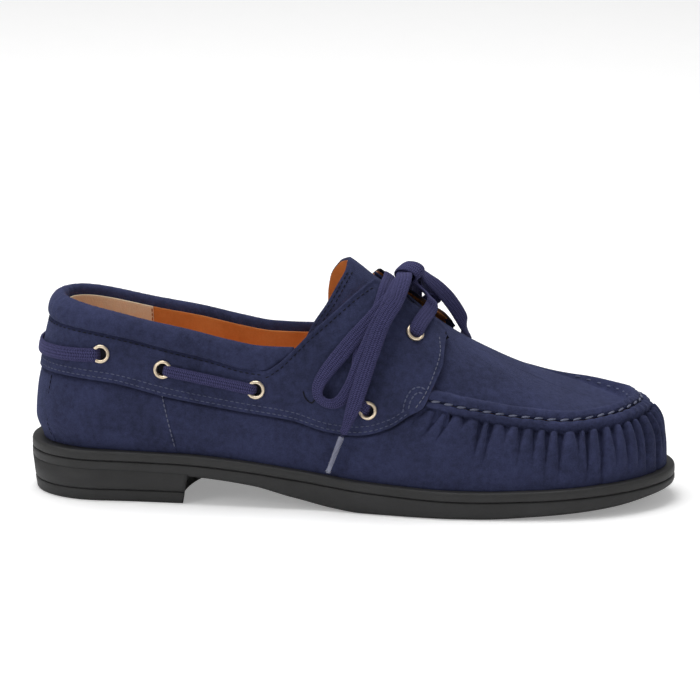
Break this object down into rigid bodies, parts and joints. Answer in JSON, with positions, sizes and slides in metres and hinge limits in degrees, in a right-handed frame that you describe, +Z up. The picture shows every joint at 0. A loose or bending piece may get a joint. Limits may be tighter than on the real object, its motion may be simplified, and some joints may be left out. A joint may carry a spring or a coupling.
{
  "type": "boat shoe",
  "caption": "Low suede moccasin-toe lace-up shoe with a padded collar, a saddle band laced round the heel and a low heeled rubber sole.",
  "frame": {"origin": "centre of the sole's bounding box, on the floor under heel and forefoot", "axes": "+X from heel to toe, +Y to the inner side of the foot, +Z up"},
  "size_m": [0.3, 0.1038, 0.112],
  "materials": {
    "suede": "napped",
    "lace": "woven",
    "rubber": "matte",
    "lining": "smooth",
    "brass": "polished",
    "aglet": "clear"
  },
  "bodies": {
    "root": {"midsole": "rubber", "outsole": "rubber", "heel_lift": "rubber", "insole": "lining", "upper": "suede", "saddle": "suede", "tongue": "suede", "collar": "suede", "apron_seam": "suede", "lace_heel": "lace", "lace_lateral": "lace", "lace_medial": "lace", "lace_cross": "lace", "lace_tie": "lace", "knot": "lace", "loop_lateral": "lace", "loop_medial": "lace", "end_lateral": "lace", "end_medial": "lace", "aglet_lateral": "aglet", "aglet_medial": "aglet", "eyelet_heel_lateral": "brass", "eyelet_heel_medial": "brass", "eyelet_side_lateral": "brass", "eyelet_side_medial": "brass", "eyelet_waist_lateral": "brass", "eyelet_waist_medial": "brass", "eyelet_low_lateral": "brass", "eyelet_low_medial": "brass", "eyelet_throat_lateral": "brass", "eyelet_throat_medial": "brass"}
  },
  "joints": []
}
